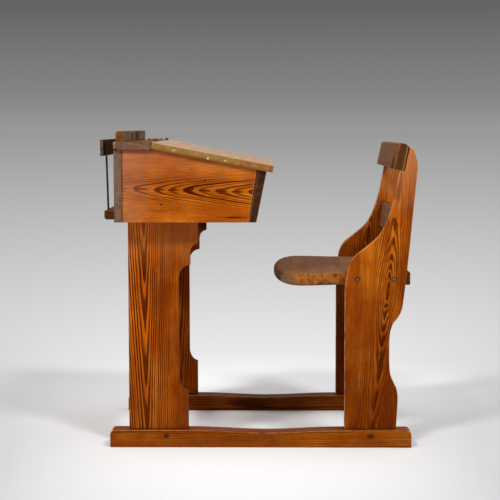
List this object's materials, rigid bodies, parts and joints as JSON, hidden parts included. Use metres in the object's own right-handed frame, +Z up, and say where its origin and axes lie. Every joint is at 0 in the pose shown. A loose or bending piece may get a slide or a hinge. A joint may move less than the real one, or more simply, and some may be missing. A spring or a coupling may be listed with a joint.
{
  "type": "school desk with attached seat",
  "caption": "Child's single school desk in waxed pine: lift-up sloping lid, pen shelf with inkwell, rear book rack, and a backed seat joined by sledge feet.",
  "frame": {"origin": "on the floor, at the middle of the bounding box's underside", "axes": "+X from the book rack towards the seat back, +Y towards the pupil's right-hand side (the pupil faces -X), +Z up"},
  "size_m": [0.7868, 0.61, 0.798],
  "materials": {
    "pitch_pine": "waxed, worn at the arrises",
    "stained_pine": "dark stain",
    "iron": "aged dark iron",
    "brass": "tarnished",
    "ceramic": "glazed, ink-stained"
  },
  "bodies": {
    "frame": {"book_stop": "pitch_pine", "box_back": "pitch_pine", "box_bottom": "pitch_pine", "box_front": "pitch_pine", "box_left_side": "pitch_pine", "box_right_side": "pitch_pine", "desk_cross_rail": "pitch_pine", "inkwell": "ceramic", "inkwell_pivot": "iron", "inkwell_plate": "brass", "left_back_rail_screw": "iron", "left_box_cleat": "pitch_pine", "left_desk_foot_peg": "stained_pine", "left_desk_standard": "pitch_pine", "left_foot": "pitch_pine", "left_front_seat_screw": "iron", "left_hinge_pin": "iron", "left_hinge_shelf_leaf": "iron", "left_rack_rod": "iron", "left_rear_seat_screw": "iron", "left_seat_cleat": "pitch_pine", "left_seat_foot_peg": "stained_pine", "left_seat_standard": "pitch_pine", "lower_back_rail": "pitch_pine", "middle_rack_rod": "iron", "pen_shelf": "pitch_pine", "rack_ledge": "stained_pine", "rack_rail": "stained_pine", "right_back_rail_screw": "iron", "right_box_cleat": "pitch_pine", "right_desk_foot_peg": "stained_pine", "right_desk_standard": "pitch_pine", "right_foot": "pitch_pine", "right_front_seat_screw": "iron", "right_hinge_pin": "iron", "right_hinge_shelf_leaf": "iron", "right_rack_rod": "iron", "right_rear_seat_screw": "iron", "right_seat_cleat": "pitch_pine", "right_seat_foot_peg": "stained_pine", "right_seat_standard": "pitch_pine", "seat_board": "pitch_pine", "shelf_edging": "pitch_pine", "top_back_rail": "pitch_pine"},
    "lid": {"lid_rear_board": "pitch_pine", "lid_front_board": "pitch_pine", "lid_left_batten": "pitch_pine", "lid_right_batten": "pitch_pine", "left_hinge_lid_leaf": "iron", "right_hinge_lid_leaf": "iron"},
    "inkwell_cover": {"inkwell_cover": "iron"}
  },
  "joints": [
    {"name": "lid_hinge", "type": "hinge", "parent": "frame", "child": "lid", "pos_m": [-0.26472, 0, 0.77474], "axis": [0, -1, 0], "range_deg": [0, 174]},
    {"name": "inkwell_cover_pivot", "type": "hinge", "parent": "frame", "child": "inkwell_cover", "pos_m": [-0.31755, 0.225, 0.7733], "axis": [0, 0, 1], "range_deg": [0, 85]}
  ]
}
